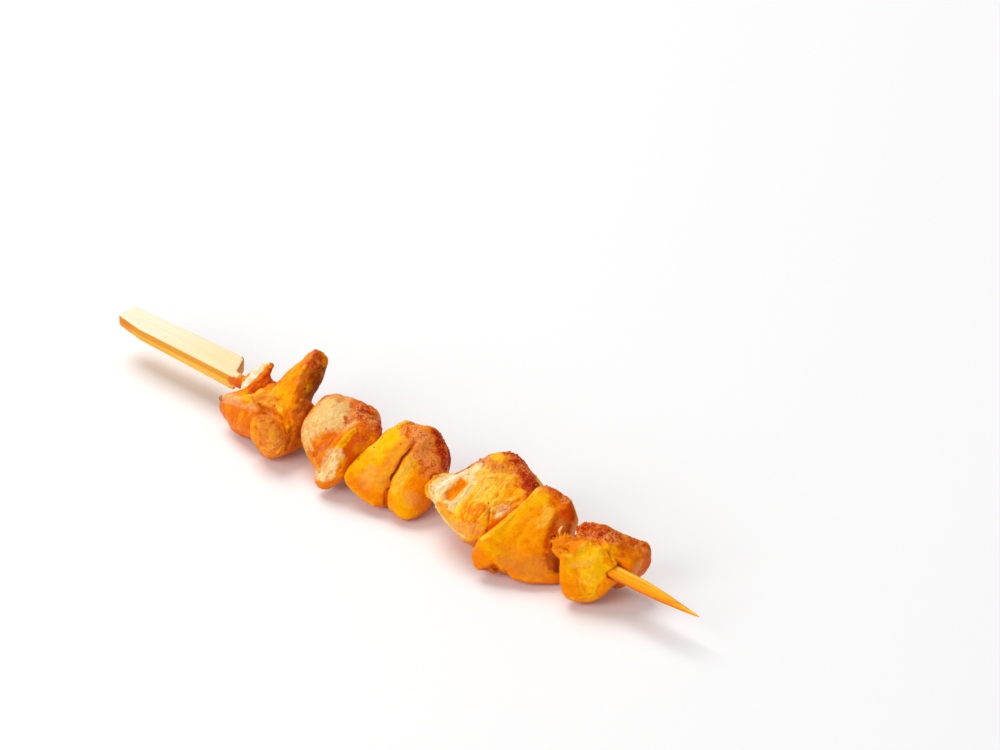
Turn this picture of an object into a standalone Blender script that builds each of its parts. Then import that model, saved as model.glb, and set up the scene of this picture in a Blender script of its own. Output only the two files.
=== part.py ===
"""Chicken kebab skewer: six folded pieces of grilled chicken on a flat-handled bamboo skewer.

Everything is worked out in millimetres along the skewer: X runs from the end of the handle to
the point, Y across it, and Z up from the middle of the round rod. At the end the objects are
turned to metres, stood on the ground and centred over the origin.
"""

import math
import random
from collections import namedtuple

import bmesh
import bpy
from mathutils import Euler, Matrix, Vector, noise

MM = 0.001

# bamboo skewer
SKEWER_LENGTH = 180.0
ROD_RADIUS = 1.6
ROD_SIDES = 20
ROD_START = 35.5
POINT_LENGTH = 17.0
POINT_TIP_RADIUS = 0.18
POINT_DROP = 0.4
POINT_STATIONS = (0.25, 0.5, 0.72, 0.9, 1.0)
POINT_FULLNESS = 1.25
HANDLE_TOP = 1.6
HANDLE_END_UNDER = -1.2
HANDLE_UNDER = -2.0
HANDLE_NEAR = -1.6
HANDLE_FAR = 6.4
HANDLE_END_FAR = 5.2
HANDLE_FAR_LENGTH = 33.8
HANDLE_NEAR_LENGTH = 38.1
HANDLE_CHAMFER = 7.8
HANDLE_CHAMFER_DEPTH = 1.2
HANDLE_EDGE = 0.25

# chicken
AXIS_HEIGHT = 9.0
FIT_GAP = 0.3
VOXEL = 0.5
SOFTEN_STEPS = 14
DENT_SOFTEN_STEPS = 2
MASS_GROWTH = 0.35
PIECE_TRIANGLES = 1450
LOBE_RINGS = 18
LOBE_SIDES = 20
BUMPS = ((8.0, 0.6), (3.5, 0.4), (1.8, 0.12))
SEAM_REACH = 24.0
SEAM_DEPTH = 60.0
CUT_OVERRUN = 10.0
GROUND_BLOCK = (400.0, 100.0, 20.0)
MEAT_ROUGHNESS = 0.35
BAMBOO_ROUGHNESS = 0.55

# chilli
FLAKES_PER_PIECE = 14
FLAKE_SIZE = (0.75, 1.2)
FLAKE_SHAPE = (1.0, 0.75, 0.5)
FLAKE_TILT = 0.5
FLAKE_LIFT = 0.08
FLAKE_SPACING = 2.2
FLAKE_CLEARANCE = 1.6
FLAKE_MIN_UP = 0.3
FLAKE_TRIES = 60

BAMBOO = (0.86, 0.66, 0.30)

Lobe = namedtuple("Lobe", "path width thick face end square", defaults=(0.35, 2.4))
Mass = namedtuple("Mass", "corners")
Seam = namedtuple("Seam", "place lean_y lean_z")
Dent = namedtuple("Dent", "centre radii")

# A lobe is a flattened roll of meat: the middle line it follows, its width and thickness along
# that line, and the way that its flat side looks. A mass is a chunk with the given corners.
MEAT = {
    "chicken_1": [
        Lobe([(41, 0, -0.5), (48, 0, -1.5), (57, -1, -2)], [7, 10, 10], [7, 9, 10], (0, 0, 1)),
        Mass([(38, -6, -2.2), (37.7, -6, -4.5), (40.9, -7, -6.8), (42.4, -7, -8), (48, -7, -7.6),
              (52, -8, -5.9), (43, -6, 0.2), (48.7, -7, 1.9), (52.4, -8, 2.1), (45, -9, -4),
              (50, -10, -3), (41.5, -3, 0), (52, -4, -3), (48, -3, -7)]),
        Mass([(61, -9, -4.6), (59.9, -6, 0), (58.5, -4, 2.4), (57.6, -2, 5.3), (61.8, -2, -4.6),
              (61.8, -2.4, 0.8), (61.6, 1, 2.6), (59, 2, 1.7), (54, -6, -2), (53, -3, 3), (50, 0, 4.5),
              (54, 1, -7), (58, -6, -8), (61.4, 1, -6)]),
        Mass([(50, 0, 4.5), (52, 4, 5.6), (52.6, 8, 8.6), (52.6, 10.4, 10.4), (57.6, -2, 5.3),
              (55.6, 2, 7.4), (54.8, 6, 9.7), (59, 2, 1.7), (58, 5, 3.6), (56, 9.3, 6.3),
              (56, 11.6, 7.6), (51, 6, 3), (52, 2, 1), (52, 10, 7)]),
        Lobe([(57.3, -9.5, 3), (56.8, -10.3, -2), (56.3, -7.8, -8.8)], [8, 8.5, 5], [3.5, 4.5, 4],
             (0, 1, 0)),
        Lobe([(41.2, -2, 0), (43.8, 1, 3), (45.2, 3.8, 6)], [5, 5, 3.2], [1.8, 1.8, 1.4],
             (0.41, -0.72, 0.56)),
    ],
    "chicken_2": [
        Mass([(61.7, 4, 4.6), (61.5, 0, 3.2), (67, 3, 7.8), (73, 5, 6.8), (76.3, 5, 6), (62.2, -4, -0.8),
              (64.3, -6, 0.9), (66.1, -7.5, -1.4), (69.6, -8.5, -4.1), (71.1, -8, -5.6),
              (69, -4, 5.6), (66, -1, 6.5), (64, 8, 1), (64, 6, -6), (74, 9, 1), (74, 6, -8),
              (66, -2, -9.4), (74, -3, -9.4), (77, -5, -3), (77, -2, 4), (74, 4, -9.4)]),
        Lobe([(74.5, -11, -7.5), (76.5, -8.7, -2), (78.5, -3, 3), (79.5, 3, 4.8)], [6, 7, 7.5, 6],
             [5, 5.5, 5.5, 5], (0.55, -0.6, 0.6)),
        Lobe([(72, 0, -2), (79, 0, -1)], [12, 9], [12, 9], (0, 0, 1)),
    ],
    "chicken_3": [
        Mass([(80.8, -10, -2), (80.6, -9.5, -3.8), (85.5, -10.6, -4.8), (90.5, -9.7, -6.9),
              (80.5, -8, -1), (81.8, -5, 1.8), (82.5, -2, 3.6), (83.8, 2, 5.6), (87, 4, 8.3),
              (93, 4.5, 9.4), (91.4, 0, 6.8), (91.2, -4, 2.8), (91, -8, -1.4), (82, 8, 3),
              (82, 6, -6), (90, 8, 3), (90, 5, -8), (84, -3, -8), (90, -5, -8.5)]),
        Mass([(92.4, 1, 7.8), (92.4, -3, 4.2), (92.4, -7, -0.3), (92.4, -8.7, -6.5),
              (98.1, -8, -7.5), (95.5, -9, -4), (98.9, -4, -7.4), (98.7, -1, -6.3), (99, -5, -2),
              (98.9, 1, -2.2), (99, 3, 1), (98.2, 5, 3.8), (96.2, 6.5, 6.6), (94, 6.5, 8.4),
              (92, 5, 9.6), (93, 9, 2), (97, 8, 0), (93, 6, -8), (96, 5, -8), (95, -5, -9.8),
              (100.2, -1.5, -2.5), (100.6, 1, 2), (99.5, -3, 0.5)]),
        Lobe([(85, 1, -2), (96, 1, -2)], [13, 13], [12, 12], (0, 0, 1)),
    ],
    "chicken_4": [
        Mass([(104.3, -6.5, 1.6), (105.5, -5, -2.5), (109, -7, -2), (111.3, -7, -2.7),
              (117.2, -9, -3.6), (120, -11, -1), (106.5, 0, 4.6), (108.8, 4, 7.6),
              (111.5, 6, 9), (114, 9.5, 9.7), (115.5, 10.4, 8.4), (120, 9.5, 6.8),
              (123, 10, 4), (105.5, -8, 2.8), (113, -9.5, 2.2), (121, -9.5, 1.6), (114, 0, 7.2),
              (118, 0, 6), (112, -5, 5), (118, -6, 4.2), (125, -6, 1.5), (125.5, 0, 3),
              (126, 5, 5.5), (108, 0, -7), (118, -4, -8.5), (109, 5, -6), (120, 6, -9.6),
              (113, 3, -9.6), (108, 8, 2), (121, 11, 0), (125, 0, -6)]),
        Mass([(101.7, -5.8, 2.4), (102.1, -6.2, -0.8), (102.6, -1.2, 3.4), (105.2, -4, 4.6),
              (103.5, 0, -2), (108, -6, 4), (108, -7, 0), (108, 2, 5), (107, 2, -3)]),
    ],
    "chicken_5": [
        Mass([(121.8, -13.2, -4), (123.7, -13.2, -6.6), (128.2, -12.2, -6.4), (131.2, -10.2, -5.3),
              (135.2, -8, -5.9), (138.3, -5, -7.5), (140.2, -2, -8.6), (139.3, -1, -3.2),
              (138.8, -1, 0.6), (139.4, 0.5, 1.6), (137, 6, 3.8), (134.8, 6.5, 7.2), (131, 6, 9.2),
              (128, 5, 9.3), (127.7, 1, 6.5), (126.5, -6, 3), (125, -11, 1.4), (126.5, 8, 4),
              (127, 6, -6), (135, 8, 0), (136, 5, -9.6), (128, -1, -9.2), (138, 0, -9.6)]),
    ],
    "chicken_6": [
        Mass([(145.5, -7, -6.5), (149, -7, -6), (151.4, -5, -6.2), (153, -3, -5), (155.5, -1, -2.4),
              (145.7, -8.2, -3.1), (145.3, -7.2, 1.3), (144.4, -6, 3.3), (145.4, -3, 4.7),
              (148.8, -1, 5.8), (155, 0, 2.7), (143, 0, 5), (144, 0, -8), (149, -3, -9.4),
              (142.6, -2, -3)]),
        Mass([(141.6, 1, 5.6), (143.7, 3, 6.8), (146.4, 5, 6.6), (150.4, 7, 4.9), (153.4, 9, 4.2),
              (155.2, 10.3, 3.3), (157.2, 9, 2.3), (156.2, 10.2, -2), (154.6, 9, -4.8),
              (150, 1, 5.6), (156.4, 2.5, 1.5), (155.5, 3, -2), (146, 9, -3), (144, 3, -6),
              (150, 5, -9.4), (143, 5, 1)]),
        Lobe([(143, 0, -0.5), (149, 0.5, -1), (154, 1, -0.5)], [11, 12, 8], [10, 11, 8], (0, 0, 1)),
        Lobe([(147, -2, 2.5), (142.5, -2.6, 2.8), (138.6, -3.6, 1.9)], [6, 5.5, 3.6], [6, 5, 3.2],
             (0, 0, 1)),
        Lobe([(145, -2, 4), (142.8, -3, 5.6), (141.4, -3, 8)], [2.6, 2, 1.5], [2, 1.7, 1.3],
             (0, 1, 0)),
    ],
}

# Dents pressed into a piece: a torn hollow, and the arch under the folded flap.
DENTS = {
    "chicken_4": [Dent((109.5, -6.5, 5.5), (2.0, 2.8, 1.7))],
    "chicken_5": [Dent((131.0, -11.5, -8.5), (2.6, 4.0, 2.8))],
}

# Where two pieces press together: place on the axis, lean with Y and lean with Z.
SEAMS = {
    ("chicken_1", "chicken_2"): Seam(61.6, 0.0, 0.0),
    ("chicken_2", "chicken_3"): Seam(82.0, 0.2, 0.12),
    ("chicken_3", "chicken_4"): Seam(100.4, 0.15, 0.05),
    ("chicken_4", "chicken_5"): Seam(124.5, 0.18, 0.05),
    ("chicken_5", "chicken_6"): Seam(139.5, 0.0, -0.35),
}

MEAT_COLOURS = {
    "chicken_1": (0.80, 0.36, 0.08),
    "chicken_2": (0.78, 0.48, 0.20),
    "chicken_3": (0.88, 0.46, 0.07),
    "chicken_4": (0.86, 0.58, 0.20),
    "chicken_5": (0.88, 0.46, 0.05),
    "chicken_6": (0.90, 0.44, 0.04),
}


def clear_scene():
    for old in list(bpy.data.objects):
        bpy.data.objects.remove(old)


def link_mesh(name, bm):
    mesh = bpy.data.meshes.new(name)
    bm.to_mesh(mesh)
    bm.free()
    obj = bpy.data.objects.new(name, mesh)
    bpy.context.scene.collection.objects.link(obj)
    return obj


def apply_modifiers(obj):
    bpy.context.view_layer.update()
    graph = bpy.context.evaluated_depsgraph_get()
    mesh = bpy.data.meshes.new_from_object(obj.evaluated_get(graph))
    obj.modifiers.clear()
    old = obj.data
    obj.data = mesh
    bpy.data.meshes.remove(old)


def discard(obj):
    mesh = obj.data
    bpy.data.objects.remove(obj)
    bpy.data.meshes.remove(mesh)


def combine(obj, other, operation, solver="MANIFOLD"):
    """Join or cut obj with another object, which is used up."""
    boolean = obj.modifiers.new(operation.lower(), "BOOLEAN")
    boolean.operation = operation
    boolean.solver = solver
    boolean.object = other
    apply_modifiers(obj)
    discard(other)


def along(values, t):
    """Smooth curve through evenly spaced values, read at t from 0 to 1."""
    last = len(values) - 1
    place = min(t, 1.0) * last
    i = min(int(place), last - 1)
    f = place - i
    a = values[max(i - 1, 0)]
    b = values[i]
    c = values[i + 1]
    d = values[min(i + 2, last)]
    return 0.5 * (2 * b + (c - a) * f + (2 * a - 5 * b + 4 * c - d) * f * f
                  + (3 * b - a - 3 * c + d) * f ** 3)


def lobe_ring(bm, centre, side, normal, half_width, half_thick, square):
    loop = []
    for k in range(LOBE_SIDES):
        angle = 2 * math.pi * k / LOBE_SIDES
        c = math.cos(angle)
        s = math.sin(angle)
        x = math.copysign(abs(c) ** (2 / square), c) * half_width
        y = math.copysign(abs(s) ** (2 / square), s) * half_thick
        loop.append(bm.verts.new(centre + side * x + normal * y))
    return loop


def add_lobe(bm, lobe):
    """Sweep a lobe's flattened section along its path, closing to a rounded end each way."""
    points = [Vector(p) for p in lobe.path]
    hint = Vector(lobe.face).normalized()
    rings = []
    for ring in range(LOBE_RINGS + 1):
        t = 0.5 - 0.5 * math.cos(math.pi * ring / LOBE_RINGS)
        centre = along(points, t)
        if ring in (0, LOBE_RINGS):
            rings.append([bm.verts.new(centre)])
            continue
        ahead = along(points, min(t + 0.01, 1.0)) - along(points, max(t - 0.01, 0.0))
        tangent = ahead.normalized()
        normal = (hint - tangent * hint.dot(tangent)).normalized()
        edge = min(min(t, 1.0 - t) / lobe.end, 1.0)
        close = math.sqrt(1.0 - (1.0 - edge) ** 2)
        rings.append(lobe_ring(bm, centre, tangent.cross(normal), normal,
                               0.5 * along(lobe.width, t) * close,
                               0.5 * along(lobe.thick, t) * close, lobe.square))
    for a, b in zip(rings, rings[1:]):
        for k in range(LOBE_SIDES):
            n = (k + 1) % LOBE_SIDES
            if len(a) == 1:
                bm.faces.new((a[0], b[k], b[n]))
            elif len(b) == 1:
                bm.faces.new((a[k], b[0], a[n]))
            else:
                bm.faces.new((a[k], b[k], b[n], a[n]))


def add_mass(bm, mass):
    """Close a skin round a chunk's corners, moved out by what softening will take off them."""
    middle = sum((Vector(corner) for corner in mass.corners), Vector()) / len(mass.corners)
    corners = []
    for corner in mass.corners:
        out = Vector(corner) - middle
        corners.append(bm.verts.new(middle + out + out.normalized() * MASS_GROWTH))
    hull = bmesh.ops.convex_hull(bm, input=corners)
    spare = hull["geom_interior"] + hull["geom_unused"]
    inside = {v for v in spare if isinstance(v, bmesh.types.BMVert)}
    bmesh.ops.delete(bm, geom=list(inside), context="VERTS")


def dent_solid(dent):
    bm = bmesh.new()
    bmesh.ops.create_icosphere(bm, subdivisions=3, radius=1.0)
    bmesh.ops.scale(bm, vec=dent.radii, verts=bm.verts)
    bmesh.ops.translate(bm, vec=dent.centre, verts=bm.verts)
    return link_mesh("dent", bm)


def grow_skin(obj, soften_steps):
    """Replace overlapping or sharp shapes by one even skin, and soften it."""
    remesh = obj.modifiers.new("fuse", "REMESH")
    remesh.mode = "VOXEL"
    remesh.voxel_size = VOXEL
    smooth = obj.modifiers.new("soften", "SMOOTH")
    smooth.factor = 0.5
    smooth.iterations = soften_steps
    apply_modifiers(obj)


def fuse_meat(name):
    """Join a piece's lobes and masses into one skin and soften the creases between them."""
    bm = bmesh.new()
    for part in MEAT[name]:
        if isinstance(part, Lobe):
            add_lobe(bm, part)
        else:
            add_mass(bm, part)
    bmesh.ops.recalc_face_normals(bm, faces=bm.faces)
    obj = link_mesh(name, bm)
    grow_skin(obj, SOFTEN_STEPS)
    for dent in DENTS.get(name, []):
        combine(obj, dent_solid(dent), "DIFFERENCE")
        grow_skin(obj, DENT_SOFTEN_STEPS)
    return obj


def roughen(obj, seed):
    """Uneven meat: broad and small bumps along the normals."""
    shift = Vector((17.3, 5.1, 9.7)) * seed
    moves = []
    for vertex in obj.data.vertices:
        height = sum(depth * noise.noise(vertex.co / size + shift) for size, depth in BUMPS)
        moves.append(vertex.normal * height)
    for vertex, move in zip(obj.data.vertices, moves):
        vertex.co += move


def thin_out(obj, triangles):
    """Reduce a fine skin to about the given number of triangles."""
    bpy.context.view_layer.update()
    obj.data.calc_loop_triangles()
    decimate = obj.modifiers.new("thin out", "DECIMATE")
    decimate.ratio = triangles / len(obj.data.loop_triangles)
    apply_modifiers(obj)


def seam_cutter(seam, sign):
    """Block whose one face is a seam's plane, moved half a gap towards -sign."""
    bm = bmesh.new()
    corners = []
    for y, z in ((-1, -1), (1, -1), (1, 1), (-1, 1)):
        lean = SEAM_REACH * (seam.lean_y * y + seam.lean_z * z)
        x = seam.place + lean - sign * FIT_GAP / 2
        corners.append(bm.verts.new((x, SEAM_REACH * y, SEAM_REACH * z)))
    block = bmesh.ops.extrude_face_region(bm, geom=[bm.faces.new(corners)])
    far = [v for v in block["geom"] if isinstance(v, bmesh.types.BMVert)]
    for vertex in far:
        vertex.co.x += sign * SEAM_DEPTH
    bmesh.ops.recalc_face_normals(bm, faces=bm.faces)
    return link_mesh("seam cutter", bm)


def ground_cutter():
    bm = bmesh.new()
    bmesh.ops.create_cube(bm, size=1.0)
    bmesh.ops.scale(bm, vec=GROUND_BLOCK, verts=bm.verts)
    middle = (SKEWER_LENGTH / 2, 0, -AXIS_HEIGHT - GROUND_BLOCK[2] / 2)
    bmesh.ops.translate(bm, vec=middle, verts=bm.verts)
    return link_mesh("ground cutter", bm)


def handle_outline(grow):
    """Handle seen from above: straight along the rod's near side, slanted at the shoulder."""
    near = HANDLE_NEAR - grow
    return [
        (-grow, HANDLE_NEAR + HANDLE_CHAMFER_DEPTH - grow),
        (HANDLE_CHAMFER, near),
        (HANDLE_NEAR_LENGTH + grow, near),
        (HANDLE_FAR_LENGTH + grow, HANDLE_FAR + grow),
        (-grow, HANDLE_END_FAR + grow),
    ]


def handle_solid(grow, edge):
    """Flat handle, a little thicker towards the rod; edge rounds it, grow makes it larger."""
    bm = bmesh.new()
    outline = []
    for x, y in handle_outline(grow):
        under = HANDLE_END_UNDER + (HANDLE_UNDER - HANDLE_END_UNDER) * x / HANDLE_FAR_LENGTH
        outline.append(bm.verts.new((x, y, under - grow)))
    block = bmesh.ops.extrude_face_region(bm, geom=[bm.faces.new(outline)])
    for vertex in block["geom"]:
        if isinstance(vertex, bmesh.types.BMVert):
            vertex.co.z = HANDLE_TOP + grow
    bmesh.ops.recalc_face_normals(bm, faces=bm.faces)
    if edge:
        upright = [e for e in bm.edges if abs(e.verts[0].co.z - e.verts[1].co.z) > HANDLE_TOP]
        bmesh.ops.bevel(bm, geom=upright, offset=3 * edge, segments=3, profile=0.5, affect="EDGES")
        level = [e for e in bm.edges if abs(e.verts[0].co.z - e.verts[1].co.z) < HANDLE_TOP]
        bmesh.ops.bevel(bm, geom=level, offset=edge, segments=1, profile=0.5, affect="EDGES")
    return link_mesh("skewer", bm)


def rod_solid(radius, start, end, point):
    """Round rod along X, carved to a slightly lopsided point at its far end."""
    stations = [(start, radius, 0.0), (end - POINT_LENGTH if point else end, radius, 0.0)]
    if point:
        for f in POINT_STATIONS:
            small = radius + (POINT_TIP_RADIUS - radius) * f ** POINT_FULLNESS
            stations.append((end - POINT_LENGTH * (1 - f), small, -POINT_DROP * f))
    bm = bmesh.new()
    rings = []
    for x, r, z in stations:
        ring = []
        for k in range(ROD_SIDES):
            angle = 2 * math.pi * k / ROD_SIDES
            ring.append(bm.verts.new((x, r * math.cos(angle), z + r * math.sin(angle))))
        rings.append(ring)
    for a, b in zip(rings, rings[1:]):
        for k in range(ROD_SIDES):
            n = (k + 1) % ROD_SIDES
            bm.faces.new((a[k], b[k], b[n], a[n]))
    bm.faces.new(rings[0])
    bm.faces.new(rings[-1])
    bmesh.ops.recalc_face_normals(bm, faces=bm.faces)
    return link_mesh("rod", bm)


def build_skewer():
    skewer = handle_solid(0.0, HANDLE_EDGE)
    combine(skewer, rod_solid(ROD_RADIUS, ROD_START, SKEWER_LENGTH, True), "UNION", "EXACT")
    return skewer


def keep_largest(obj):
    """Keep a piece's main skin alone: loose scraps go, and a sealed hollow is filled."""
    bm = bmesh.new()
    bm.from_mesh(obj.data)
    groups = []
    seen = set()
    for start in bm.verts:
        if start in seen:
            continue
        group = []
        stack = [start]
        seen.add(start)
        while stack:
            vertex = stack.pop()
            group.append(vertex)
            for edge in vertex.link_edges:
                other = edge.other_vert(vertex)
                if other not in seen:
                    seen.add(other)
                    stack.append(other)
        groups.append(group)
    groups.sort(key=len)
    for group in groups[:-1]:
        bmesh.ops.delete(bm, geom=group, context="VERTS")
    bm.to_mesh(obj.data)
    bm.free()


def seam_distance(name, point):
    """How far a point lies from the seams of its piece, measured along the skewer."""
    nearest = SEAM_DEPTH
    for pair, seam in SEAMS.items():
        if name in pair:
            place = seam.place + seam.lean_y * point.y + seam.lean_z * point.z
            nearest = min(nearest, abs(point.x - place))
    return nearest


def flake_spots(obj, rng):
    """Spread chilli flakes over the faces that look up, clear of the neighbours and the rod."""
    faces = [p for p in obj.data.polygons if p.normal.z > FLAKE_MIN_UP]
    weights = [p.area * p.normal.z for p in faces]
    spots = []
    for _ in range(FLAKE_TRIES * FLAKES_PER_PIECE):
        face = rng.choices(faces, weights)[0]
        point = face.center
        far_from_rod = math.hypot(point.y, point.z) > ROD_RADIUS + FLAKE_CLEARANCE
        apart = all((point - spot[0]).length > FLAKE_SPACING for spot in spots)
        if far_from_rod and apart and seam_distance(obj.name, point) > FLAKE_CLEARANCE:
            spots.append((point.copy(), face.normal.copy()))
        if len(spots) == FLAKES_PER_PIECE:
            break
    return spots


def add_flakes(obj, seed):
    rng = random.Random(seed)
    group = bpy.data.collections.new("chilli")
    for number, (point, normal) in enumerate(flake_spots(obj, rng)):
        size = rng.uniform(*FLAKE_SIZE)
        bm = bmesh.new()
        bmesh.ops.create_icosphere(bm, subdivisions=1, radius=0.5)
        bmesh.ops.scale(bm, vec=Vector(FLAKE_SHAPE) * size, verts=bm.verts)
        tilt = [rng.uniform(-FLAKE_TILT, FLAKE_TILT) for _ in range(2)]
        spin = rng.uniform(0, math.tau)
        turn = normal.to_track_quat("Z", "Y").to_matrix() @ Euler(tilt + [spin]).to_matrix()
        place = Matrix.Translation(point + normal * FLAKE_LIFT) @ turn.to_4x4()
        bmesh.ops.transform(bm, matrix=place, verts=bm.verts)
        mesh = bpy.data.meshes.new("flake")
        bm.to_mesh(mesh)
        bm.free()
        group.objects.link(bpy.data.objects.new(f"flake_{number}", mesh))
    boolean = obj.modifiers.new("chilli", "BOOLEAN")
    boolean.operation = "UNION"
    boolean.operand_type = "COLLECTION"
    boolean.solver = "MANIFOLD"
    boolean.collection = group
    apply_modifiers(obj)
    for flake in list(group.objects):
        discard(flake)
    bpy.data.collections.remove(group)


def build_piece(name, seed):
    piece = fuse_meat(name)
    roughen(piece, seed)
    thin_out(piece, PIECE_TRIANGLES)
    for pair, seam in SEAMS.items():
        if name == pair[0]:
            combine(piece, seam_cutter(seam, 1), "DIFFERENCE")
        if name == pair[1]:
            combine(piece, seam_cutter(seam, -1), "DIFFERENCE")
    combine(piece, handle_solid(FIT_GAP, 0.0), "DIFFERENCE")
    bore = rod_solid(ROD_RADIUS + FIT_GAP, ROD_START - CUT_OVERRUN, SKEWER_LENGTH + CUT_OVERRUN, False)
    combine(piece, bore, "DIFFERENCE")
    combine(piece, ground_cutter(), "DIFFERENCE")
    keep_largest(piece)
    add_flakes(piece, seed)
    keep_largest(piece)
    return piece


def give_material(obj, colour, roughness):
    material = bpy.data.materials.new(obj.name)
    material.use_nodes = True
    shader = material.node_tree.nodes["Principled BSDF"]
    shader.inputs["Base Color"].default_value = (*colour, 1.0)
    shader.inputs["Roughness"].default_value = roughness
    shader.inputs["Metallic"].default_value = 0.0
    obj.data.materials.clear()
    obj.data.materials.append(material)


def stand_and_centre(objects):
    """Millimetres to metres, resting on Z = 0, with the middle of the whole over the origin."""
    corners = [v.co for obj in objects for v in obj.data.vertices]
    low = Vector([min(c[i] for c in corners) for i in range(3)])
    high = Vector([max(c[i] for c in corners) for i in range(3)])
    base = Vector(((low.x + high.x) / 2, (low.y + high.y) / 2, low.z))
    for obj in objects:
        obj.data.transform(Matrix.Scale(MM, 4) @ Matrix.Translation(-base))


def main():
    clear_scene()
    pieces = [build_piece(name, seed) for seed, name in enumerate(MEAT, start=1)]
    skewer = build_skewer()
    for piece in pieces:
        give_material(piece, MEAT_COLOURS[piece.name], MEAT_ROUGHNESS)
    give_material(skewer, BAMBOO, BAMBOO_ROUGHNESS)
    stand_and_centre(pieces + [skewer])


main()
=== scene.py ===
import itertools
import math

import bmesh
import bpy
import numpy as np
from mathutils import Matrix, Vector
from mathutils.bvhtree import BVHTree


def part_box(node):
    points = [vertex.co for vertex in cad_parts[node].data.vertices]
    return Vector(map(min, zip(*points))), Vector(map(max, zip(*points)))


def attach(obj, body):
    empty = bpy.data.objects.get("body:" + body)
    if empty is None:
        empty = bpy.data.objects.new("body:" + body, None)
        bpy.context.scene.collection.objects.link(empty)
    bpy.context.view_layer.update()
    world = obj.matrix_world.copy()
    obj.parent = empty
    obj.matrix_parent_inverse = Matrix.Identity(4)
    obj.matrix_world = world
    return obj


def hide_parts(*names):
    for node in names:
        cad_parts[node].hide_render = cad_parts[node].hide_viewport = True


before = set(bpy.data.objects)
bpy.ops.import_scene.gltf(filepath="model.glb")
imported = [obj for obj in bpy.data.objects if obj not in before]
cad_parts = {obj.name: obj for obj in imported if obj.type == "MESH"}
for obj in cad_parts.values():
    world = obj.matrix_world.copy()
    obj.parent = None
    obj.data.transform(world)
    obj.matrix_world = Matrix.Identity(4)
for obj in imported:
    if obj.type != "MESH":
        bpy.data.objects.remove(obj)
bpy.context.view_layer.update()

scene = bpy.context.scene
millimetre = 0.001
metre = 1000  # in millimetres, for the meshes that are shaped in them
shortest = 1e-9  # stands in for the squared length of a run that has none

# colours as seen on a screen; the names are hues only, and several of them also serve for painted
# shade and painted highlights
palette = {
    "ivory": (255, 247, 218),
    "cream": (252, 222, 158),
    "sand": (250, 204, 130),
    "tan": (240, 202, 130),
    "straw": (255, 208, 66),
    "yellow": (255, 192, 16),
    "gold": (255, 176, 6),
    "amber": (252, 150, 2),
    "orange": (246, 130, 4),
    "copper": (230, 104, 6),
    "burnt": (216, 86, 8),
    "peach": (246, 160, 78),
    "mauve": (238, 172, 118),
    "salmon": (240, 142, 84),
    "toast": (226, 134, 50),
    "sienna": (186, 90, 28),
    "brown": (136, 60, 14),
    "rust": (200, 58, 12),
    "chilli": (162, 26, 8),
    "ember": (80, 22, 8),
    "olive": (110, 74, 26),
    "bamboo": (250, 188, 78),
    "honey": (230, 150, 42),
}
screen = {"brightest": 255, "gamma": 2.2}


def linear(name):
    return tuple((channel / screen["brightest"]) ** screen["gamma"] for channel in palette[name])


# Shader maths as Python expressions

class Value:
    def __init__(self, tree, socket):
        self.tree = tree
        self.socket = socket

    def join(self, operation, first, second):
        node = self.tree.nodes.new("ShaderNodeMath")
        node.operation = operation
        for slot, part in zip(node.inputs, (first, second)):
            if isinstance(part, Value):
                self.tree.links.new(part.socket, slot)
            else:
                slot.default_value = part
        return Value(self.tree, node.outputs[0])

    def __add__(self, other):
        return self.join("ADD", self, other)

    def __radd__(self, other):
        return self.join("ADD", other, self)

    def __sub__(self, other):
        return self.join("SUBTRACT", self, other)

    def __rsub__(self, other):
        return self.join("SUBTRACT", other, self)

    def __mul__(self, other):
        return self.join("MULTIPLY", self, other)

    def __rmul__(self, other):
        return self.join("MULTIPLY", other, self)


class Finish:
    def __init__(self, name):
        self.material = bpy.data.materials.new(name)
        self.material.use_nodes = True
        self.tree = self.material.node_tree
        self.shader = self.tree.nodes["Principled BSDF"]

    def node(self, kind, settings, inputs, output=0):
        made = self.tree.nodes.new(kind)
        for name, setting in settings.items():
            if name == "stops":
                ramp = made.color_ramp
                while len(ramp.elements) < len(setting):
                    ramp.elements.new(0.5)
                for element, (place, colour) in zip(ramp.elements, setting):
                    element.position = place
                    element.color = (*colour, 1.0)
            else:
                setattr(made, name, setting)
        self.feed(made, inputs)
        return Value(self.tree, made.outputs[output])

    def feed(self, made, inputs):
        for name, part in inputs.items():
            if isinstance(part, Value):
                self.tree.links.new(part.socket, made.inputs[name])
            else:
                made.inputs[name].default_value = part

    def place(self):
        return self.node("ShaderNodeTexCoord", {}, {}, "Object")

    def attribute(self, label, output):
        return self.node("ShaderNodeAttribute", {"attribute_name": label}, {}, output)

    def noise(self, place, size, detail, roughness):
        inputs = {"Vector": place, "Scale": 1 / (size * millimetre), "Detail": detail,
                  "Roughness": roughness}
        return self.node("ShaderNodeTexNoise", {}, inputs, "Fac")

    def ramp(self, factor, stops):
        return self.node("ShaderNodeValToRGB", {"stops": stops}, {"Fac": factor})

    def multiply(self, factor, first, second):
        settings = {"data_type": "RGBA", "blend_type": "MULTIPLY"}
        inputs = {0: factor, 6: first, 7: second}  # the Mix node's sockets for colours
        return self.node("ShaderNodeMix", settings, inputs, 2)

    def bump(self, height, distance, strength):
        inputs = {"Height": height, "Distance": distance * millimetre, "Strength": strength}
        return self.node("ShaderNodeBump", {}, inputs, "Normal")

    def finish(self, **inputs):
        self.feed(self.shader, {name.replace("_", " "): part for name, part in inputs.items()})
        return self.material


# Camera, at the photo's angle: degrees, metres, and pixels of the photo

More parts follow.
